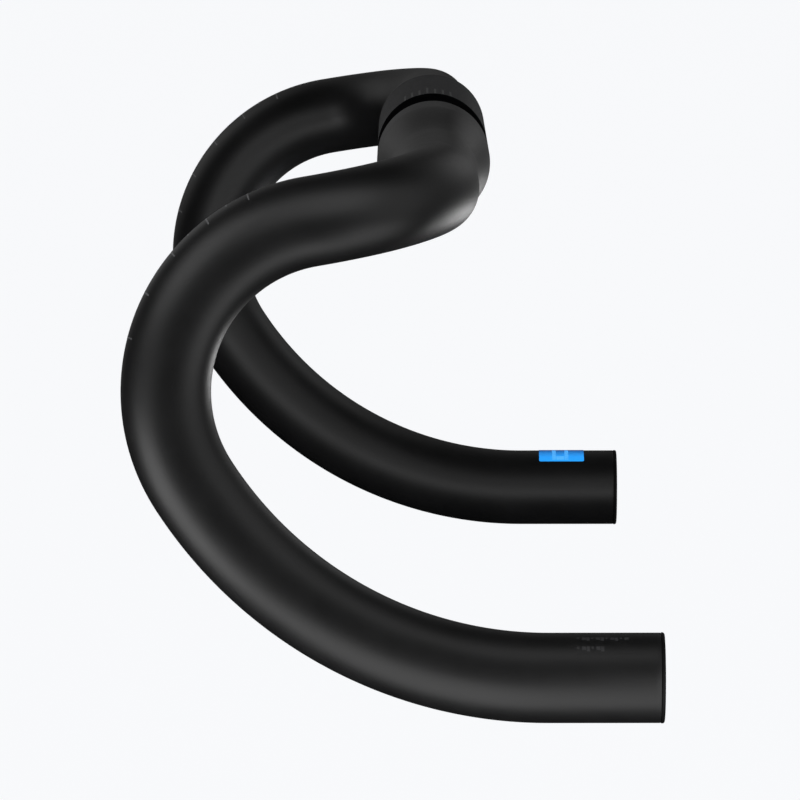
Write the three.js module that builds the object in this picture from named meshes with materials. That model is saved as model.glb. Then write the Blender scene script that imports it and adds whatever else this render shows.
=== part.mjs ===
// A road drop handlebar: one bent, butted aluminium tube, a push-in plug in each end, and two printed labels.
//
// Millimetres. The origin is the centre of the stem clamp zone, on the tube's centreline.
// +X is towards the rider's right hand, +Y is forwards and +Z is up.
import * as THREE from "three";

const degrees = THREE.MathUtils.degToRad;

// ---- Driving dimensions ----------------------------------------------------------------------

const CLAMP_DIAMETER = 31.8; // fits an oversize road stem
const GRIP_DIAMETER = 23.8; // fits road brake levers, tape and end plugs
const CLAMP_WALL = 2.0;
const GRIP_WALL = 1.6;

const CLAMP_ZONE_HALF = 72.6; // where the full clamp diameter ends, from the centre
const TAPER_END = 106.5; // where the grip diameter begins, from the centre
const TOP_HALF = 163.9; // straight top, from the centre to the corner bend

const CORNER_ENTRY_RADIUS = 53.8; // all bend radii are those of the centreline
const CORNER_ENTRY_TURN = degrees(37); // the corner eases in, then tightens
const CORNER_RADIUS = 28.4;
const RAMP_SLOPE = degrees(9.6); // how far the corner leaves the tube pointing below level
const FLARE = degrees(1.2); // how far the drops lean outwards from upright
const HOOK_RADIUS = 45.5;
const HOOK_TURN = degrees(113.0);
const SWEEP_RADIUS = 110.7;
const SWEEP_TURN = Math.PI - RAMP_SLOPE - HOOK_TURN; // brings the tube round to point straight back
const DROP_END_LENGTH = 29.6; // straight, from the sweep to the tube's mouth

const PLUG_FLANGE_DIAMETER = 24.0;
const PLUG_FLANGE_THICKNESS = 1.0;
const PLUG_EDGE_ROUND = 0.6;
const PLUG_SPIGOT_DIAMETER = 18.6;
const PLUG_RIB_DIAMETER = 20.2;
const PLUG_RIB_COUNT = 4;
const PLUG_RIB_PITCH = 4.5;
const PLUG_SPIGOT_LENGTH = 22.0;
const PLUG_WALL = 1.5;
const PLUG_SEAT_GAP = 0.05; // between the flange and the tube's mouth

const LABEL_THICKNESS = 0.1;
const LABEL_GAP = 0.07; // keeps the flat facets of a label's back off the tube

// ---- How finely the curved surfaces are faceted ------------------------------------------------

const TUBE_SIDES = 24;
const TAPER_STEPS = 6;
const BEND_STEP = degrees(9);
const PLUG_SIDES = 24;
const PLUG_EDGE_STEPS = 3;
const LABEL_STEPS = 12;

// ---- Directions --------------------------------------------------------------------------------

const OUTWARD = new THREE.Vector3(1, 0, 0);
const FORWARD = new THREE.Vector3(0, 1, 0);
const DOWN_THE_DROP = new THREE.Vector3(Math.sin(FLARE), 0, -Math.cos(FLARE));

// A unit vector in the plane of a drop, `angle` below forwards.
function inDropPlane(angle) {
  return new THREE.Vector3()
    .addScaledVector(FORWARD, Math.cos(angle))
    .addScaledVector(DOWN_THE_DROP, Math.sin(angle));
}

// ---- The centreline ----------------------------------------------------------------------------

// A straight run that leaves `start` along `heading`.
class Straight extends THREE.Curve {
  constructor(start, heading, length) {
    super();
    Object.assign(this, { start, heading, length });
  }

  getPoint(t, target = new THREE.Vector3()) {
    return target.copy(this.start).addScaledVector(this.heading, this.length * t);
  }

  getTangent(t, target = new THREE.Vector3()) {
    return target.copy(this.heading);
  }
}

// A circular bend that leaves `start` along `heading` and turns towards `inward`, a unit vector square to it.
class Bend extends THREE.Curve {
  constructor(start, heading, inward, radius, turn) {
    super();
    const centre = start.clone().addScaledVector(inward, radius);
    Object.assign(this, { heading, inward, radius, turn, centre });
  }

  getPoint(t, target = new THREE.Vector3()) {
    const angle = this.turn * t;
    return target
      .copy(this.centre)
      .addScaledVector(this.inward, -this.radius * Math.cos(angle))
      .addScaledVector(this.heading, this.radius * Math.sin(angle));
  }

  getTangent(t, target = new THREE.Vector3()) {
    const angle = this.turn * t;
    return target
      .set(0, 0, 0)
      .addScaledVector(this.heading, Math.cos(angle))
      .addScaledVector(this.inward, Math.sin(angle));
  }
}

// The right half of the centreline as a list of runs, from the clamp's centre to the tube's mouth.
function rightHalfRuns() {
  const runs = [];
  let position = new THREE.Vector3();
  let heading = OUTWARD.clone();

  const add = (curve, steps) => {
    runs.push({ curve, steps });
    position = curve.getPoint(1);
    heading = curve.getTangent(1);
  };
  const goStraight = (length, steps = 1) => add(new Straight(position, heading, length), steps);
  const bendTowards = (inward, radius, turn) =>
    add(new Bend(position, heading, inward, radius, turn), Math.ceil(turn / BEND_STEP));

  goStraight(CLAMP_ZONE_HALF);
  goStraight(TAPER_END - CLAMP_ZONE_HALF, TAPER_STEPS);
  goStraight(TOP_HALF - TAPER_END);

  const ramp = inDropPlane(RAMP_SLOPE);
  const acrossTheCorner = ramp.clone().addScaledVector(heading, -heading.dot(ramp)).normalize();
  const cornerTurn = heading.angleTo(ramp);
  bendTowards(acrossTheCorner, CORNER_ENTRY_RADIUS, CORNER_ENTRY_TURN);
  const acrossTheRest = ramp.clone().addScaledVector(heading, -heading.dot(ramp)).normalize();
  bendTowards(acrossTheRest, CORNER_RADIUS, cornerTurn - CORNER_ENTRY_TURN);
  bendTowards(inDropPlane(RAMP_SLOPE + Math.PI / 2), HOOK_RADIUS, HOOK_TURN);
  bendTowards(inDropPlane(RAMP_SLOPE + HOOK_TURN + Math.PI / 2), SWEEP_RADIUS, SWEEP_TURN);
  goStraight(DROP_END_LENGTH);
  return runs;
}

// Stations along the right half: a point, two directions across the tube there, and the distance from the centre.
function rightHalfStations(runs) {
  const stations = [];
  let tangent = OUTWARD.clone();
  let across = FORWARD.clone();
  let distance = 0;

  const addStation = (curve, t) => {
    const next = curve.getTangent(t);
    across = across.clone().applyQuaternion(new THREE.Quaternion().setFromUnitVectors(tangent, next));
    tangent = next;
    const point = curve.getPoint(t);
    if (stations.length) distance += point.distanceTo(stations.at(-1).point);
    stations.push({ point, across, other: tangent.clone().cross(across), distance });
  };

  addStation(runs[0].curve, 0);
  for (const { curve, steps } of runs) {
    for (let step = 1; step <= steps; step += 1) addStation(curve, step / steps);
  }
  return stations;
}

// ---- The tube ----------------------------------------------------------------------------------

// A size that is `atClamp` over the clamp zone and blends smoothly to `atGrip` over the taper.
function tapered(distance, atClamp, atGrip) {
  return THREE.MathUtils.lerp(atClamp, atGrip, THREE.MathUtils.smoothstep(distance, CLAMP_ZONE_HALF, TAPER_END));
}

const outerRadius = (distance) => tapered(distance, CLAMP_DIAMETER / 2, GRIP_DIAMETER / 2);
const innerRadius = (distance) =>
  outerRadius(distance) - tapered(distance, CLAMP_WALL, GRIP_WALL);

// The corners of the tube's section at one station.
function ring({ point, across, other, distance }, radiusAt) {
  const radius = radiusAt(distance);
  return Array.from({ length: TUBE_SIDES }, (_, side) => {
    const angle = (2 * Math.PI * side) / TUBE_SIDES;
    return point
      .clone()
      .addScaledVector(across, radius * Math.cos(angle))
      .addScaledVector(other, radius * Math.sin(angle));
  });
}

const mirrored = (corners) => corners.map(({ x, y, z }) => new THREE.Vector3(-x, y, z));

// Rings along the whole bar, from the left mouth to the right one.
function wholeBarRings(stations, radiusAt) {
  const right = stations.map((station) => ring(station, radiusAt));
  const left = right.slice(1).map(mirrored).reverse();
  return [...left, ...right];
}

// A closed pipe wall between two sets of rings that run side by side.
function pipeWall(outerRings, innerRings) {
  const corners = [...outerRings.flat(), ...innerRings.flat()];
  const innerStart = outerRings.length * TUBE_SIDES;
  const outer = (station, side) => station * TUBE_SIDES + (side % TUBE_SIDES);
  const inner = (station, side) => innerStart + outer(station, side);
  const index = [];
  const addQuad = (a, b, c, d) => index.push(a, b, c, a, c, d);

  const last = outerRings.length - 1;
  for (let side = 0; side < TUBE_SIDES; side += 1) {
    for (let station = 0; station < last; station += 1) {
      addQuad(
        outer(station, side),
        outer(station, side + 1),
        outer(station + 1, side + 1),
        outer(station + 1, side),
      );
      addQuad(
        inner(station, side),
        inner(station + 1, side),
        inner(station + 1, side + 1),
        inner(station, side + 1),
      );
    }
    addQuad(outer(0, side), inner(0, side), inner(0, side + 1), outer(0, side + 1));
    addQuad(outer(last, side), outer(last, side + 1), inner(last, side + 1), inner(last, side));
  }

  const geometry = new THREE.BufferGeometry().setFromPoints(corners).setIndex(index);
  geometry.computeVertexNormals();
  return geometry;
}

function barTube(stations) {
  return pipeWall(wholeBarRings(stations, outerRadius), wholeBarRings(stations, innerRadius));
}

// ---- The end plugs -----------------------------------------------------------------------------

// A plug as a turned shape about Y: its seat on the tube's mouth is at y = 0, and +Y runs into the tube.
function endPlug() {
  const flangeRadius = PLUG_FLANGE_DIAMETER / 2;
  const spigotRadius = PLUG_SPIGOT_DIAMETER / 2;
  const ribRadius = PLUG_RIB_DIAMETER / 2;
  const boreRadius = spigotRadius - PLUG_WALL;
  const profile = [
    [0, PLUG_WALL],
    [boreRadius, PLUG_WALL],
    [boreRadius, PLUG_SPIGOT_LENGTH],
    [spigotRadius, PLUG_SPIGOT_LENGTH],
  ];

  // Each rib rises gently from the tip's side, so that the plug pushes in easily and pulls out hard.
  for (let rib = PLUG_RIB_COUNT; rib > 0; rib -= 1) {
    const crest = rib * PLUG_RIB_PITCH;
    profile.push([spigotRadius, crest + PLUG_RIB_PITCH / 2], [ribRadius, crest], [spigotRadius, crest - 1]);
  }
  profile.push([spigotRadius, -PLUG_SEAT_GAP], [flangeRadius, -PLUG_SEAT_GAP]);

  for (let step = 0; step <= PLUG_EDGE_STEPS; step += 1) {
    const angle = (Math.PI / 2) * (step / PLUG_EDGE_STEPS);
    profile.push([
      flangeRadius - PLUG_EDGE_ROUND * (1 - Math.cos(angle)),
      -PLUG_FLANGE_THICKNESS + PLUG_EDGE_ROUND * (1 - Math.sin(angle)),
    ]);
  }
  profile.push([0, -PLUG_FLANGE_THICKNESS]);

  const outline = profile.reverse().map(([radius, y]) => new THREE.Vector2(radius, y));
  return new THREE.LatheGeometry(outline, PLUG_SIDES);
}

// ---- The labels --------------------------------------------------------------------------------

// A film wrapped on the straight drop end. Angles are measured from the bar's right over its top, and the
// label starts at y = 0 and runs towards the rider.
function wrappedLabel({ length, fromAngle, toAngle }) {
  const inside = GRIP_DIAMETER / 2 + LABEL_GAP;
  const section = new THREE.Shape();
  section.absarc(0, 0, inside + LABEL_THICKNESS, fromAngle, toAngle, false);
  section.absarc(0, 0, inside, toAngle, fromAngle, true);
  const label = new THREE.ExtrudeGeometry(section, {
    depth: length,
    bevelEnabled: false,
    curveSegments: LABEL_STEPS,
  });
  return label.rotateX(Math.PI / 2);
}

// The size label sits across the top of the right drop end.
const SIZE_LABEL = { fromMouth: 24.0, length: 14.4, fromAngle: degrees(51), toAngle: degrees(129) };
// The specification label starts at the top of the left drop end and runs down its outer side.
const SPEC_LABEL = { fromMouth: 23.2, length: 16.2, fromAngle: degrees(90), toAngle: degrees(140) };

// ---- The assembly ------------------------------------------------------------------------------

const FINISHES = {
  barTube: { color: 0x17181a, roughness: 0.42, metalness: 0.35 },
  endPlug: { color: 0x0d0d0e, roughness: 0.6, metalness: 0 },
  sizeLabel: { color: 0x1482eb, roughness: 0.35, metalness: 0 },
  specLabel: { color: 0x1b1c1e, roughness: 0.45, metalness: 0 },
};

function namedMesh(name, geometry, finish) {
  const mesh = new THREE.Mesh(geometry, new THREE.MeshStandardMaterial(finish));
  mesh.name = name;
  return mesh;
}

function handlebar() {
  const stations = rightHalfStations(rightHalfRuns());
  const rightMouth = stations.at(-1).point;
  const leftMouth = rightMouth.clone().multiply(new THREE.Vector3(-1, 1, 1));
  const assembly = new THREE.Group();
  const place = (mesh, mouth, intoTheTube = 0) => {
    mesh.position.copy(mouth).addScaledVector(FORWARD, intoTheTube);
    assembly.add(mesh);
  };

  assembly.add(namedMesh("bar_tube", barTube(stations), FINISHES.barTube));
  place(namedMesh("left_end_plug", endPlug(), FINISHES.endPlug), leftMouth);
  place(namedMesh("right_end_plug", endPlug(), FINISHES.endPlug), rightMouth);
  place(namedMesh("size_label", wrappedLabel(SIZE_LABEL), FINISHES.sizeLabel), rightMouth, SIZE_LABEL.fromMouth);
  place(namedMesh("spec_label", wrappedLabel(SPEC_LABEL), FINISHES.specLabel), leftMouth, SPEC_LABEL.fromMouth);
  return assembly;
}

export default handlebar();
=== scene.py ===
"""The looks of a road drop handlebar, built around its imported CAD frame.

Metres. The origin is the centre of the stem clamp zone, on the tube's centreline.
+X is towards the rider's right hand, +Y is forwards and +Z is up.
"""

import math

import bmesh
import bpy
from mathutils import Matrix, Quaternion, Vector


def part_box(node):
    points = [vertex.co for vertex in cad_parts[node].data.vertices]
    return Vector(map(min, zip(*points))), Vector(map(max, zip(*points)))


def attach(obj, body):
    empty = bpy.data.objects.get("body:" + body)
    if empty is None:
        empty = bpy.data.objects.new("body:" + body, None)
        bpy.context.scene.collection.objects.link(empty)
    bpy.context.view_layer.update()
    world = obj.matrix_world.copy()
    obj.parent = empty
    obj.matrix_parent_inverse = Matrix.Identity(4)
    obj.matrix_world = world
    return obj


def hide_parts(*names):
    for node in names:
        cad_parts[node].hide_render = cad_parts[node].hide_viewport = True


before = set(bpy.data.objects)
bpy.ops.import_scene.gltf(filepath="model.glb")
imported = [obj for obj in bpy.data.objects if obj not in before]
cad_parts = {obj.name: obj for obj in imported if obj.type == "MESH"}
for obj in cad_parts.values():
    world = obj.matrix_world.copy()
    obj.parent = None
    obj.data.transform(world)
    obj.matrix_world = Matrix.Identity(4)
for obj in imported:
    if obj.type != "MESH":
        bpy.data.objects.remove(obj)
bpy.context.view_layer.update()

MM = 0.001
UP = Vector((0, 0, 1))
FORWARD = Vector((0, 1, 0))
OUTWARD = Vector((1, 0, 0))

# ---- Driving dimensions ------------------------------------------------------------------------

CLAMP_RADIUS = 15.9 * MM
GRIP_RADIUS = 11.9 * MM
CLAMP_WALL = 2.0 * MM
GRIP_WALL = 1.6 * MM
CLAMP_ZONE_HALF = 72.6 * MM
TAPER_END = 106.5 * MM
TOP_HALF = 163.9 * MM
CORNER_ENTRY_RADIUS = 53.8 * MM
CORNER_ENTRY_TURN = math.radians(37)
CORNER_RADIUS = 28.4 * MM
RAMP_SLOPE = math.radians(9.6)
FLARE = math.radians(1.2)
HOOK_RADIUS = 45.5 * MM
HOOK_TURN = math.radians(113.0)
SWEEP_RADIUS = 110.7 * MM
SWEEP_TURN = math.pi - RAMP_SLOPE - HOOK_TURN
DROP_END_LENGTH = 29.6 * MM

BLACK_RING = (-50.0 * MM, -17.0 * MM)  # left of the centre
BLASTED_ZONE = (-17.0 * MM, CLAMP_ZONE_HALF)
MOUTH_ROUND = 0.25 * MM

TICK_COUNT = 7
TICK_PITCH = math.radians(8.2)
TICK_MIDDLE = math.radians(5.5)  # how far forward of the top the middle tick lies
TICK_WIDTH = 0.64 * MM
TICK_GAP = 0.3 * MM
TICK_LENGTH = 20.0 * MM
MIDDLE_TICK_LENGTH = 26.0 * MM

LEVER_MARK_COUNT = 9
LEVER_MARK_START = 12.0 * MM  # past the start of the hook
LEVER_MARK_PITCH = 5.0 * MM
LEVER_MARK_WIDTH = 0.3 * MM
LONG_MARK_REACH = math.radians(28)
SHORT_MARK_REACH = math.radians(13)

INK_LIFT = 0.004 * MM
INK_THICKNESS = 0.02 * MM
LABEL_LIFT = 0.01 * MM
LABEL_CORNER = 0.5 * MM
PRINT_LIFT = 0.002 * MM
PRINT_THICKNESS = 0.01 * MM
PRINT_CORNER = 0.15 * MM

FLANGE_RADIUS = 12.0 * MM
FLANGE_THICKNESS = 1.0 * MM
SPIGOT_RADIUS = 9.3 * MM
SPIGOT_LENGTH = 22.0 * MM
HOLLOW_RADIUS = 7.8 * MM
HOLLOW_FLOOR = 1.5 * MM
RIB_COUNT = 4
RIB_PITCH = 4.5 * MM
RIB_HEIGHT = 0.8 * MM

FLOOR_HALF = 40.0
FLOOR_HEIGHT = -0.5
LIGHT_AIM = Vector((0, 0, -60.0 * MM))
CAMERA_PLACE = (-2.0269, 0.0083, 0.1433)
CAMERA_LENS = 313.6  # in mm, for a 36 mm wide sensor
CAMERA_PITCH = math.radians(6.146)  # downwards
CAMERA_YAW = math.radians(0.035)
CAMERA_ROLL = math.radians(0.061)

TUBE_SIDES = 96
PLUG_SIDES = 96
CORNER_STEPS = 5
SHARP_ANGLE = math.radians(40)
STATION_STEP = 1.5 * MM
BORE_STATION_STEP = 6.0 * MM

# ---- Meshes ------------------------------------------------------------------------------------


def mesh_object(name, vertices, faces, materials, face_materials=None):
    """A smooth-shaded object from plain lists, with its normals made to face outwards."""
    mesh = bpy.data.meshes.new(name)
    mesh.from_pydata([tuple(v) for v in vertices], [], faces)
    for material in materials:
        mesh.materials.append(material)
    if face_materials:
        mesh.polygons.foreach_set("material_index", face_materials)
    mesh.polygons.foreach_set("use_smooth", [True] * len(mesh.polygons))
    shaped = bmesh.new()
    shaped.from_mesh(mesh)
    bmesh.ops.recalc_face_normals(shaped, faces=shaped.faces)
    shaped.to_mesh(mesh)
    shaped.free()
    mesh.set_sharp_from_angle(angle=SHARP_ANGLE)
    obj = bpy.data.objects.new(name, mesh)
    bpy.context.scene.collection.objects.link(obj)
    return obj


def ring_faces(first, second, count):
    """Quads between two rings of vertices that start at index first and second."""
    return [
        (first + i, first + (i + 1) % count, second + (i + 1) % count, second + i) for i in range(count)
    ]


# ---- The centreline ----------------------------------------------------------------------------


def in_drop_plane(angle):
    """A unit vector in the plane of the right drop, angle below forwards."""
    down = Vector((math.sin(FLARE), 0, -math.cos(FLARE)))
    return FORWARD * math.cos(angle) + down * math.sin(angle)


class Run:
    """A stretch of the right half's centreline: straight, or a bend towards a unit vector square to it."""

    def __init__(self, start, heading, across, length, inward=None, radius=None):
        self.start = start
        self.heading = heading
        self.across = across
        self.length = length
        self.inward = inward
        self.radius = radius

    def at(self, distance):
        """The point, heading and across direction at a distance along this run."""
        if self.inward is None:
            return self.start + self.heading * distance, self.heading, self.across
        angle = distance / self.radius
        turn = Quaternion(self.heading.cross(self.inward), angle)
        sideways = self.radius * (1 - math.cos(angle))
        along = self.radius * math.sin(angle)
        point = self.start + self.inward * sideways + self.heading * along
        return point, turn @ self.heading, turn @ self.across


def right_half_runs():
    """The runs from the centre of the clamp zone to the mouth of the right drop."""
    runs = [Run(Vector((0, 0, 0)), OUTWARD, FORWARD, TOP_HALF)]

    def add(length, inward=None, radius=None):
        runs.append(Run(*runs[-1].at(runs[-1].length), length, inward, radius))

    def bend(towards, radius, turn):
        _, heading, _ = runs[-1].at(runs[-1].length)
        add(radius * turn, (towards - heading * heading.dot(towards)).normalized(), radius)

    ramp = in_drop_plane(RAMP_SLOPE)
    bend(ramp, CORNER_ENTRY_RADIUS, CORNER_ENTRY_TURN)
    bend(ramp, CORNER_RADIUS, OUTWARD.angle(ramp) - CORNER_ENTRY_TURN)
    bend(in_drop_plane(RAMP_SLOPE + math.pi / 2), HOOK_RADIUS, HOOK_TURN)
    bend(in_drop_plane(RAMP_SLOPE + HOOK_TURN + math.pi / 2), SWEEP_RADIUS, SWEEP_TURN)
    add(DROP_END_LENGTH)
    return runs


RUNS = right_half_runs()
HOOK_START = sum(run.length for run in RUNS[:3])
HALF_LENGTH = sum(run.length for run in RUNS)


def mirrored(vector):
    """The same vector on the left half."""
    return Vector((-vector.x, vector.y, vector.z))


def station(distance):
    """The point, the heading away from the centre, and two directions across the tube.

    Distances are measured along the centreline from the centre, and are negative on the left half.
    """
    left = distance < 0
    remaining = abs(distance)
    for run in RUNS:
        if remaining <= run.length or run is RUNS[-1]:
            break
        remaining -= run.length
    point, heading, across = run.at(remaining)
    other = heading.cross(across)
    if left:
        return mirrored(point), mirrored(heading), mirrored(across), mirrored(other)
    return point, heading, across, other


def tapered(distance, at_clamp, at_grip):
    """A size that passes smoothly from its value at the clamp to its value at the grips."""
    t = (abs(distance) - CLAMP_ZONE_HALF) / (TAPER_END - CLAMP_ZONE_HALF)
    t = min(max(t, 0), 1)
    return at_clamp + (at_grip - at_clamp) * t * t * (3 - 2 * t)


def outer_radius(distance):
    return tapered(distance, CLAMP_RADIUS, GRIP_RADIUS)


def bore_radius(distance):
    return outer_radius(distance) - tapered(distance, CLAMP_WALL, GRIP_WALL)


# ---- Material helpers --------------------------------------------------------------------------


class Finish:
    """A new material with its shader and short ways to add the nodes that drive it."""

    def __init__(self, name, **sockets):
        self.material = bpy.data.materials.new(name)
        self.material.use_nodes = True
        self.nodes = self.material.node_tree.nodes
        self.links = self.material.node_tree.links
        self.shader = self.nodes["Principled BSDF"]
        self.place = self.nodes.new("ShaderNodeTexCoord").outputs["Object"]
        for socket, value in sockets.items():
            self.shader.inputs[socket.replace("_", " ")].default_value = value

    def noise(self, size, detail=2.0, roughness=0.5, stretch=(1, 1, 1)):
        """Noise whose features are about size metres across, from 0 to 1."""
        mapping = self.nodes.new("ShaderNodeMapping")
        mapping.inputs["Scale"].default_value = stretch
        self.links.new(self.place, mapping.inputs["Vector"])
        noise = self.nodes.new("ShaderNodeTexNoise")
        noise.inputs["Scale"].default_value = 1 / size
        noise.inputs["Detail"].default_value = detail
        noise.inputs["Roughness"].default_value = roughness
        self.links.new(mapping.outputs["Vector"], noise.inputs["Vector"])
        return noise.outputs["Fac"]

    def place_along(self, axis):
        """The X, Y or Z place on the object, in metres."""
        split = self.nodes.new("ShaderNodeSeparateXYZ")
        self.links.new(self.place, split.inputs["Vector"])
        return split.outputs[axis]

    def spread(self, value, low, high, from_low=0.3, from_high=0.7):
        """A value stretched to run from low to high."""
        stretch = self.nodes.new("ShaderNodeMapRange")
        stretch.inputs["From Min"].default_value = from_low
        stretch.inputs["From Max"].default_value = from_high
        stretch.inputs["To Min"].default_value = low
        stretch.inputs["To Max"].default_value = high
        self.links.new(value, stretch.inputs["Value"])
        return stretch.outputs["Result"]

    def math(self, operation, *values):
        """A sum, difference or other arithmetic on values that may be numbers or sockets."""
        node = self.nodes.new("ShaderNodeMath")
        node.operation = operation
        for socket, value in zip(node.inputs, values):
            if isinstance(value, (int, float)):
                socket.default_value = value
            else:
                self.links.new(value, socket)
        return node.outputs["Value"]

    def colours(self, value, low, high):
        """A blend from one colour to another as value goes from 0 to 1."""
        mix = self.nodes.new("ShaderNodeMix")
        mix.data_type = "RGBA"
        self.links.new(value, mix.inputs["Factor"])
        mix.inputs["A"].default_value = (*low, 1)
        mix.inputs["B"].default_value = (*high, 1)
        return mix.outputs["Result"]

    def drive(self, socket, value):
        """Feeds a node's value into one of the shader's sockets."""
        self.links.new(value, self.shader.inputs[socket])

    def bump(self, height, depth):
        """Raises the surface by up to depth metres where height is 1."""
        bump = self.nodes.new("ShaderNodeBump")
        bump.inputs["Strength"].default_value = 1.0
        bump.inputs["Distance"].default_value = depth
        self.links.new(height, bump.inputs["Height"])
        self.links.new(bump.outputs["Normal"], self.shader.inputs["Normal"])


# ---- Materials ---------------------------------------------------------------------------------


def satin_black_finish():
    """Black satin paint over blasted aluminium, with a fine grain and faint handling marks."""
    f = Finish("satin_black_finish")
    tone = f.spread(f.noise(18 * MM, detail=4), 0, 1)
    f.drive("Base Color", f.colours(tone, (0.0016, 0.0016, 0.0017), (0.0028, 0.0028, 0.0030)))
    handling = f.spread(f.noise(9 * MM, detail=5, roughness=0.6), -0.015, 0.015)
    grain = f.spread(f.noise(0.35 * MM), -0.03, 0.03)
    f.drive("Roughness", f.math("ADD", f.math("ADD", handling, grain), 0.46))
    f.bump(f.noise(0.3 * MM, detail=3), 0.006 * MM)
    return f.material


def blasted_clamp_finish():
    """The stem's gripping zone: dull black, coarsely blasted and flecked with brighter grains."""
    f = Finish("blasted_clamp_finish", Specular_IOR_Level=0.12)
    grain = f.noise(0.6 * MM, detail=4, roughness=0.7, stretch=(0.6, 1, 1))
    flecks = f.spread(grain, 0, 1, 0.36, 0.66)
    f.drive("Base Color", f.colours(flecks, (0.010, 0.010, 0.0105), (0.030, 0.030, 0.031)))
    f.drive("Roughness", f.spread(grain, 0.70, 0.56))
    f.bump(grain, 0.03 * MM)
    return f.material


def deep_black_finish():
    """The ring beside the clamp zone, in a flat black that doesn't shine."""
    f = Finish("deep_black_finish", Specular_IOR_Level=0.0)
    tone = f.spread(f.noise(5 * MM, detail=4, roughness=0.6), 0, 1)
    f.drive("Base Color", f.colours(tone, (0.0004, 0.0004, 0.0005), (0.0014, 0.0014, 0.0015)))
    f.drive("Roughness", f.spread(f.noise(6 * MM, detail=3), 0.42, 0.54))
    f.bump(f.noise(0.4 * MM, detail=2), 0.004 * MM)
    return f.material


def bore_finish():
    """Bare drawn aluminium inside the tube."""
    f = Finish("bare_bore_finish", Metallic=1.0)
    streaks = f.noise(0.5 * MM, detail=4)
    f.drive("Base Color", f.colours(f.spread(streaks, 0, 1), (0.42, 0.42, 0.43), (0.60, 0.60, 0.61)))
    f.drive("Roughness", f.spread(streaks, 0.32, 0.5))
    f.bump(streaks, 0.01 * MM)
    return f.material


def plug_finish():
    """Moulded black plastic with a spark-eroded grain."""
    f = Finish("moulded_plug_finish", Specular_IOR_Level=0.12)
    grain = f.noise(0.25 * MM, detail=3, roughness=0.6)
    tone = f.spread(grain, 0, 1)
    f.drive("Base Color", f.colours(tone, (0.0010, 0.0010, 0.0011), (0.0024, 0.0024, 0.0026)))
    f.drive("Roughness", f.spread(f.noise(4 * MM, detail=4), 0.48, 0.62))
    f.bump(grain, 0.015 * MM)
    return f.material


def blue_vinyl_finish(middle, half_width):
    """Blue vinyl film with painted shade, darkest along its middle over the top of the tube and lighter
    towards its edges, and a slight unevenness from its adhesive.
    """
    f = Finish("blue_vinyl", Specular_IOR_Level=0.12)
    from_middle = f.math("ABSOLUTE", f.math("SUBTRACT", f.place_along("X"), middle))
    # Painted shade: the blue is darkest along the label's middle, over the top of the tube, and lightens
    # towards its edges.
    painted_shade = f.spread(from_middle, 0, 1, 0.1 * half_width, 0.78 * half_width)
    unevenness = f.spread(f.noise(3 * MM, detail=3), -0.04, 0.04)
    depth = f.math("ADD", painted_shade, unevenness)
    f.drive("Base Color", f.colours(depth, (0.0, 0.10, 0.37), (0.015, 0.34, 0.96)))
    f.drive("Roughness", f.spread(f.noise(1.2 * MM, detail=2), 0.30, 0.38))
    f.bump(f.noise(2.0 * MM, detail=1), 0.004 * MM)
    return f.material


def black_vinyl_finish():
    """Dull black vinyl film, close to the paint under it."""
    f = Finish("black_vinyl")
    tone = f.spread(f.noise(3 * MM, detail=3), 0, 1)
    f.drive("Base Color", f.colours(tone, (0.0016, 0.0016, 0.0017), (0.0030, 0.0030, 0.0032)))
    f.drive("Roughness", f.spread(f.noise(1.2 * MM, detail=2), 0.42, 0.50))
    f.bump(f.noise(2.0 * MM, detail=1), 0.002 * MM)
    return f.material


def ink_finish(name, colour, worn_colour, specular):
    """Screen-printed ink, thinner in places so that the black shows through a little."""
    f = Finish(name, Specular_IOR_Level=specular)
    wear = f.spread(f.noise(0.7 * MM, detail=4, roughness=0.7), 0, 1, 0.5, 0.7)
    f.drive("Base Color", f.colours(wear, colour, worn_colour))
    f.drive("Roughness", f.spread(f.noise(0.4 * MM), 0.40, 0.55))
    f.bump(f.noise(0.2 * MM, detail=2), 0.003 * MM)
    return f.material


# ---- The tube ----------------------------------------------------------------------------------


def station_distances(step, marks=()):
    """Distances from the left mouth to the right one, with a station exactly at each run's end and mark."""
    edges = {0.0, HALF_LENGTH - MOUTH_ROUND, CLAMP_ZONE_HALF, TAPER_END, *(abs(mark) for mark in marks)}
    reached = 0.0
    for run in RUNS[:-1]:
        reached += run.length
        edges.add(reached)
    edges = sorted(edges)
    half = [0.0]
    for start, end in zip(edges, edges[1:]):
        pieces = max(1, round((end - start) / step))
        half += [start + (end - start) * (i + 1) / pieces for i in range(pieces)]
    return [-d for d in reversed(half[1:])] + half


def tube_ring(distance, radius):
    """The points of one ring round the tube."""
    point, _, across, other = station(distance)
    ring = []
    for side in range(TUBE_SIDES):
        angle = 2 * math.pi * side / TUBE_SIDES
        ring.append(point + (across * math.cos(angle) + other * math.sin(angle)) * radius)
    return ring


def lip(sign):
    """Distances and radii round the edge of a mouth, from the outside of the tube to its bore."""
    start = HALF_LENGTH - MOUTH_ROUND
    steps = 3
    outer = []
    inner = []
    for step in range(1, steps + 1):
        angle = math.pi / 2 * step / steps
        distance = start + MOUTH_ROUND * math.sin(angle)
        inwards = MOUTH_ROUND * (1 - math.cos(angle))
        outer.append((sign * distance, GRIP_RADIUS - inwards))
        inner.append((sign * distance, GRIP_RADIUS - GRIP_WALL + inwards))
    return outer + inner[::-1]


SATIN, BLASTED, RING, BARE = range(4)


def outside_finish(distance):
    """Which finish the outside of the tube has at a distance from the centre."""
    if BLASTED_ZONE[0] < distance < BLASTED_ZONE[1]:
        return BLASTED
    if BLACK_RING[0] < distance < BLACK_RING[1]:
        return RING
    return SATIN


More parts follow.
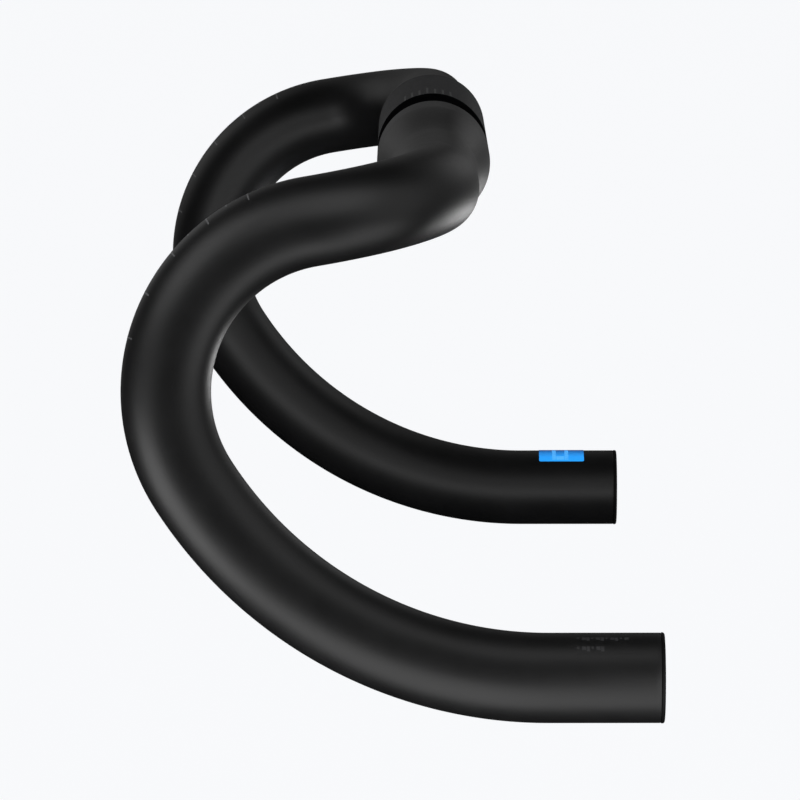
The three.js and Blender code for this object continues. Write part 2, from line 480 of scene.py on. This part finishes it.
def build_tube():
    """One closed skin: the outside, the right mouth, back through the bore, and the left mouth."""
    finishes = [satin_black_finish(), blasted_clamp_finish(), deep_black_finish(), bore_finish()]
    outside_stations = station_distances(STATION_STEP, BLACK_RING + BLASTED_ZONE)
    outside = [(d, outer_radius(d)) for d in outside_stations]
    bore = [(d, bore_radius(d)) for d in reversed(station_distances(BORE_STATION_STEP))]
    right_lip = lip(1)
    loop = outside + right_lip + bore + lip(-1)[::-1]
    bore_start = len(outside) + len(right_lip) - 1
    bore_end = bore_start + len(bore)

    vertices = []
    faces = []
    face_materials = []
    for index, (distance, radius) in enumerate(loop):
        vertices += tube_ring(distance, radius)
        following = (index + 1) % len(loop)
        faces += ring_faces(index * TUBE_SIDES, following * TUBE_SIDES, TUBE_SIDES)
        if index < len(outside):
            finish = outside_finish((distance + loop[following][0]) / 2)
        elif bore_start <= index < bore_end:
            finish = BARE
        else:
            finish = SATIN
        face_materials += [finish] * TUBE_SIDES

    tube = mesh_object("butted_tube", vertices, faces, finishes, face_materials)
    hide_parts("bar_tube")
    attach(tube, "bar")


# ---- Ink and labels on the tube ----------------------------------------------------------------


def tube_top(distance):
    """The direction that counts as angle zero for ink and labels on top of the tube."""
    return UP


def hook_outside(distance):
    """The direction away from the middle of the hook's bend."""
    _, heading, _, _ = station(distance)
    drop_normal = Vector((math.cos(FLARE), 0, math.sin(FLARE)))
    if distance < 0:
        return mirrored(drop_normal).cross(heading) * -1
    return drop_normal.cross(heading)


class Wrap:
    """Places flat shapes on the tube: along it by distance, and round it by angle.

    zero gives the direction of angle zero at a distance, and angles grow towards the second direction.
    """

    def __init__(self, zero, towards):
        self.zero = zero
        self.towards = towards

    def point(self, distance, angle, lift):
        """A point raised above the tube's surface by lift."""
        centre, heading, _, _ = station(distance)
        zero = self.zero(distance)
        zero = (zero - heading * zero.dot(heading)).normalized()
        side = heading.cross(zero)
        if side.dot(self.towards) < 0:
            side = -side
        outwards = zero * math.cos(angle) + side * math.sin(angle)
        return centre + outwards * (outer_radius(distance) + lift)


def film_mesh(wrap, rows, lift, thickness):
    """Vertices and faces of a closed thin film whose rows are (distance, list of angles)."""
    columns = len(rows[0][1])
    vertices = []
    for height in (lift, lift + thickness):
        for distance, angles in rows:
            vertices += [wrap.point(distance, angle, height) for angle in angles]
    top = len(rows) * columns
    faces = []
    for row in range(len(rows) - 1):
        for column in range(columns - 1):
            a = row * columns + column
            quad = (a, a + 1, a + columns + 1, a + columns)
            faces.append(quad)
            faces.append(tuple(top + corner for corner in reversed(quad)))
    last_row = len(rows) - 1
    edge = list(range(columns))
    edge += [row * columns + columns - 1 for row in range(1, last_row + 1)]
    edge += [last_row * columns + column for column in range(columns - 2, -1, -1)]
    edge += [row * columns for row in range(last_row - 1, 0, -1)]
    for a, b in zip(edge, edge[1:] + edge[:1]):
        faces.append((b, a, top + a, top + b))
    return vertices, faces


def stripe_rows(start, end, from_angle, to_angle, steps, corner=0.0):
    """Rows of a rectangle on the tube, with its corners rounded to the given radius."""
    length = abs(end - start)
    direction = 1 if end > start else -1
    radius_here = outer_radius(start)
    fractions = [i / steps for i in range(steps + 1)]
    along = [length * t for t in fractions]
    if corner:
        turns = [math.pi / 2 * i / CORNER_STEPS for i in range(CORNER_STEPS + 1)]
        bends = [corner * (1 - math.cos(turn)) for turn in turns]
        along = bends + [corner + (length - 2 * corner) * t for t in fractions[1:-1]]
        along += [length - bend for bend in reversed(bends)]
    rows = []
    for position in along:
        inset = max(corner - position, position - (length - corner), 0) if corner else 0
        trim = (corner - math.sqrt(max(corner * corner - inset * inset, 0))) / radius_here
        low = from_angle + trim
        high = to_angle - trim
        rows.append((start + direction * position, [low + (high - low) * t for t in fractions]))
    return rows


def film_object(name, films, material):
    """One object made of several separate films, fixed to the tube."""
    vertices = []
    faces = []
    for film_vertices, film_faces in films:
        faces += [tuple(len(vertices) + corner for corner in face) for face in film_faces]
        vertices += film_vertices
    film = mesh_object(name, vertices, faces, [material])
    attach(film, "bar")
    return film


def build_clamp_ticks():
    """A row of short lines beside the black ring, across the top, which a stem's split lines up with."""
    wrap = Wrap(tube_top, FORWARD)
    half_width = TICK_WIDTH / 2 / CLAMP_RADIUS
    start = BLACK_RING[1] + TICK_GAP
    films = []
    for tick in range(TICK_COUNT):
        place = tick - TICK_COUNT // 2
        length = TICK_LENGTH if place else MIDDLE_TICK_LENGTH
        angle = TICK_MIDDLE + place * TICK_PITCH
        rows = stripe_rows(start, start + length, angle - half_width, angle + half_width, 4)
        films.append(film_mesh(wrap, rows, INK_LIFT, INK_THICKNESS))
    ink = ink_finish("tick_ink", (0.036, 0.036, 0.037), (0.024, 0.024, 0.025), 0.1)
    ticks = film_object("clamp_alignment_ticks", films, ink)


def build_lever_scales():
    """Cross lines round the front of each hook, long and short in turn, to set both levers alike."""
    ink = ink_finish("lever_scale_ink", (0.058, 0.058, 0.060), (0.026, 0.026, 0.027), 0.5)
    for name, sign in (("left_lever_scale", -1), ("right_lever_scale", 1)):
        wrap = Wrap(hook_outside, OUTWARD)
        films = []
        for mark in range(LEVER_MARK_COUNT):
            middle = HOOK_START + LEVER_MARK_START + LEVER_MARK_PITCH * mark
            reach = SHORT_MARK_REACH if mark % 2 else LONG_MARK_REACH
            start = sign * (middle - LEVER_MARK_WIDTH / 2)
            end = sign * (middle + LEVER_MARK_WIDTH / 2)
            rows = stripe_rows(start, end, -reach, reach, 10)
            films.append(film_mesh(wrap, rows, INK_LIFT, INK_THICKNESS))
        scale = film_object(name, films, ink)


def label_with_marks(name, node, label, vinyl, ink, marks):
    """A rounded vinyl label that stands for its CAD node, with plain printed bars on it.

    Each mark is a bar: where it starts and ends along the tube, and its lower and higher angle round it.
    """
    wrap = Wrap(tube_top, label["towards"])
    angles = (label["from_angle"], label["to_angle"])
    rows = stripe_rows(label["start"], label["end"], *angles, 24, LABEL_CORNER)
    film = film_object(name, [film_mesh(wrap, rows, LABEL_LIFT, label["thickness"])], vinyl)
    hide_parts(node)
    print_height = LABEL_LIFT + label["thickness"] + PRINT_LIFT
    printed = []
    for start, end, low, high in marks:
        rows = stripe_rows(start, end, low, high, 6, PRINT_CORNER)
        printed.append(film_mesh(wrap, rows, print_height, PRINT_THICKNESS))
    print_layer = film_object(name + "_print", printed, ink)


def frame_marks(middle):
    """The bars of a plain open frame on the blue label: two cross bars, joined near each side."""
    marks = []
    for side in (-1, 1):
        low, high = sorted(math.radians(side * angle) for angle in (3, 36))
        marks.append((middle - 2.7 * MM, middle - 1.5 * MM, low, high))
        marks.append((middle + 1.3 * MM, middle + 2.5 * MM, low, high))
        low, high = sorted(math.radians(side * angle) for angle in (27, 36))
        marks.append((middle - 1.35 * MM, middle + 1.15 * MM, low, high))
    return marks


def dash_marks(label_start):
    """Two rows of small uneven dashes on the dark label: a long row, and a shorter one below it."""
    marks = []
    for low, bars in ((19, 11), (38, 6)):
        for bar in range(bars):
            start = label_start - (1.0 + 1.25 * bar) * MM
            length = (0.6 + 0.25 * (bar * 2 % 3)) * MM
            height = 4 + 2 * (bar % 3)
            marks.append((start, start - length, math.radians(low), math.radians(low + height)))
    return marks


def build_size_label():
    """The blue label over the top of the right drop's end."""
    plug_face = HALF_LENGTH + FLANGE_THICKNESS
    size = {
        "start": plug_face - 25.0 * MM,
        "end": plug_face - 10.6 * MM,
        "from_angle": math.radians(-39),
        "to_angle": math.radians(39),
        "towards": OUTWARD,
        "thickness": 0.10 * MM,
    }
    tube_middle = station(size["start"])[0].x
    blue = blue_vinyl_finish(tube_middle, GRIP_RADIUS * math.sin(size["to_angle"]))
    pale = ink_finish("pale_blue_ink", (0.075, 0.44, 0.98), (0.035, 0.34, 0.90), 0.1)
    marks = frame_marks((size["start"] + size["end"]) / 2 - 0.3 * MM)
    label_with_marks("size_label_film", "size_label", size, blue, pale, marks)


def build_spec_label():
    """The dark label on the top outer side of the left drop's end."""
    plug_face = HALF_LENGTH + FLANGE_THICKNESS
    spec = {
        "start": -(plug_face - 24.2 * MM),
        "end": -(plug_face - 8.0 * MM),
        "from_angle": 0.0,
        "to_angle": math.radians(50),
        "towards": -OUTWARD,
        "thickness": 0.02 * MM,
    }
    black = black_vinyl_finish()
    grey = ink_finish("grey_ink", (0.018, 0.018, 0.019), (0.008, 0.008, 0.0085), 0.5)
    marks = dash_marks(spec["start"])
    label_with_marks("spec_label_film", "spec_label", spec, black, grey, marks)


# ---- The end plugs -----------------------------------------------------------------------------


def rounded_corner(centre_radius, centre_depth, size, start_angle, end_angle):
    """Profile points round a corner, where angle 0 points outwards and 90 degrees points into the tube."""
    points = []
    for step in range(CORNER_STEPS + 1):
        angle = math.radians(start_angle + (end_angle - start_angle) * step / CORNER_STEPS)
        points.append((centre_radius + size * math.cos(angle), centre_depth + size * math.sin(angle)))
    return points


def face_profile():
    """The outer face: flat, with one shallow round groove, out to the flange's rounded edge."""
    face = -FLANGE_THICKNESS
    groove_radius = 8.2 * MM
    groove = [(-0.4, 0.02), (-0.25, 0.15), (0.0, 0.20), (0.25, 0.15), (0.4, 0.02)]  # across and deep, in mm
    edge = 0.6 * MM
    profile = [(0.0, face), (3.0 * MM, face), (groove_radius - 0.6 * MM, face)]
    profile += [(groove_radius + across * MM, face + depth * MM) for across, depth in groove]
    profile += [(groove_radius + 0.6 * MM, face)]
    profile += rounded_corner(FLANGE_RADIUS - edge, face + edge, edge, -90, 0)
    return profile


def spigot_profile():
    """The outside of the spigot: barbed ribs that slope down towards a rounded nose."""
    barb = [(0.0, -1.1), (0.15, -0.95), (0.925, -0.12), (1.0, 0.0), (0.9, 0.14), (0.0, 2.2)]
    nose = 0.5 * MM
    profile = [(SPIGOT_RADIUS, 0.15 * MM)]
    for rib in range(1, RIB_COUNT + 1):
        for height, past_crest in barb:
            profile.append((SPIGOT_RADIUS + RIB_HEIGHT * height, RIB_PITCH * rib + past_crest * MM))
    profile += rounded_corner(SPIGOT_RADIUS - nose, SPIGOT_LENGTH - nose, nose, 0, 90)
    return profile


def hollow_profile():
    """The inside of the spigot, from its open end to the middle of the hollow's floor."""
    fillet = 0.6 * MM
    bevel = 0.1 * MM
    profile = [(HOLLOW_RADIUS + bevel, SPIGOT_LENGTH), (HOLLOW_RADIUS, SPIGOT_LENGTH - bevel)]
    profile += [(HOLLOW_RADIUS, HOLLOW_FLOOR + fillet)]
    profile += rounded_corner(HOLLOW_RADIUS - fillet, HOLLOW_FLOOR + fillet, fillet, 0, -90)
    profile += [(0.0, HOLLOW_FLOOR)]
    return profile


def plug_profile():
    """(radius, depth into the tube) from the middle of the outer face round to the middle of the hollow."""
    seat_gap = 0.05 * MM
    under_flange = [(FLANGE_RADIUS, -0.12 * MM), (FLANGE_RADIUS - 0.08 * MM, -seat_gap)]
    under_flange += [(SPIGOT_RADIUS + 0.2 * MM, -seat_gap)]
    return face_profile() + under_flange + spigot_profile() + hollow_profile()


def build_plug(name, node, body, material):
    """A plug of revolution, seated on its tube's mouth, whose axis runs forwards into the tube."""
    low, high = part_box(node)
    centre = (low + high) / 2
    seat = Vector((centre.x, low.y + FLANGE_THICKNESS, centre.z))
    profile = plug_profile()
    vertices = [seat + FORWARD * profile[0][1]]
    faces = []
    for radius, depth in profile[1:-1]:
        for side in range(PLUG_SIDES):
            angle = 2 * math.pi * side / PLUG_SIDES
            vertices.append(seat + Vector((radius * math.cos(angle), depth, radius * math.sin(angle))))
    vertices.append(seat + FORWARD * profile[-1][1])
    last = len(vertices) - 1
    rings = len(profile) - 2
    for side in range(PLUG_SIDES):
        following = (side + 1) % PLUG_SIDES
        faces.append((0, 1 + following, 1 + side))
        faces.append((last, last - PLUG_SIDES + side, last - PLUG_SIDES + following))
    for ring in range(rings - 1):
        faces += ring_faces(1 + ring * PLUG_SIDES, 1 + (ring + 1) * PLUG_SIDES, PLUG_SIDES)
    plug = mesh_object(name, vertices, faces, [material])
    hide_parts(node)
    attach(plug, body)


def build_plugs():
    """Both plugs, from one material."""
    plastic = plug_finish()
    build_plug("left_plug_moulding", "left_end_plug", "left_plug", plastic)
    build_plug("right_plug_moulding", "right_end_plug", "right_plug", plastic)


# ---- Floor, light and camera -------------------------------------------------------------------


def build_floor():
    """A plain pale floor well below the bar, which is held in the air at its clamp."""
    f = Finish("pale_floor", Roughness=0.9, Base_Color=(0.10, 0.10, 0.102, 1))
    f.shader.inputs["Emission Color"].default_value = (0.936, 0.945, 0.962, 1)
    f.shader.inputs["Emission Strength"].default_value = 0.91
    signs = [(-1, -1), (1, -1), (1, 1), (-1, 1)]
    corners = [(x * FLOOR_HALF, y * FLOOR_HALF, FLOOR_HEIGHT) for x, y in signs]
    floor = mesh_object("floor", corners, [(0, 1, 2, 3)], [f.material])
    floor.visible_glossy = False


def build_world():
    """An even pale studio round the bar, which its gloss doesn't mirror."""
    world = bpy.data.worlds.new("studio")
    bpy.context.scene.world = world
    world.use_nodes = True
    background = world.node_tree.nodes["Background"]
    background.inputs["Color"].default_value = (0.9387, 0.9473, 0.9647, 1)
    background.inputs["Strength"].default_value = 1.0
    world.cycles_visibility.glossy = False


def softbox(name, direction, distance, size, power):
    """A square light that faces the bar from a direction: camera-right, up, and towards the camera."""
    right, up, towards = Vector(direction).normalized()
    away = Vector((-towards, -right, up))
    data = bpy.data.lights.new(name, "AREA")
    data.shape = "SQUARE"
    data.size = size
    data.energy = power
    lamp = bpy.data.objects.new(name, data)
    lamp.location = LIGHT_AIM + away * distance
    lamp.rotation_euler = away.to_track_quat("Z", "Y").to_euler()
    bpy.context.scene.collection.objects.link(lamp)
    lamp.visible_camera = False


def build_lights():
    """Small boxes close in on the camera's side, and larger ones further off behind the bar.

    Their numbers were found by a fitting program from the photo's highlights, and then rounded.
    """
    softbox("low_front_right", (0.44, -0.39, 0.81), 0.33, 0.21, 0.212)
    softbox("low_front_left", (-0.10, -0.49, 0.86), 0.33, 0.15, 0.137)
    softbox("side_left", (-0.60, -0.33, 0.73), 0.38, 0.18, 0.344)
    softbox("high_front_left", (-0.52, 0.42, 0.74), 0.42, 0.20, 0.236)
    softbox("high_front_middle", (0.00, 0.46, 0.89), 0.33, 0.14, 0.077)
    softbox("high_front_right", (0.69, 0.35, 0.64), 0.45, 0.42, 0.321)
    softbox("low_behind_right", (0.67, -0.29, -0.69), 0.45, 0.13, 0.497)
    softbox("high_behind_right", (0.57, 0.49, -0.66), 0.61, 0.31, 0.143)
    softbox("high_behind_left", (-0.63, 0.45, -0.64), 0.60, 0.34, 0.130)
    softbox("far_behind_right", (0.70, 0.07, -0.71), 1.13, 1.47, 1.037)
    softbox("far_behind_left", (-0.39, 0.40, -0.83), 0.99, 1.15, 0.608)


def build_camera():
    """A long lens on the bar's left side, which looks across it from a little above."""
    data = bpy.data.cameras.new("camera")
    data.sensor_width = 36.0
    data.lens = CAMERA_LENS
    data.clip_end = 200.0
    camera = bpy.data.objects.new("camera", data)
    camera.location = CAMERA_PLACE
    along_x = CAMERA_YAW - math.pi / 2
    facing = Quaternion(UP, along_x) @ Quaternion(OUTWARD, math.pi / 2 - CAMERA_PITCH)
    camera.rotation_euler = (facing @ Quaternion(UP, -CAMERA_ROLL)).to_euler()
    bpy.context.scene.collection.objects.link(camera)
    bpy.context.scene.camera = camera


build_camera()
build_tube()
build_clamp_ticks()
build_lever_scales()
build_size_label()
build_spec_label()
build_plugs()
build_floor()
build_world()
build_lights()
bpy.context.scene.view_settings.view_transform = "Standard"
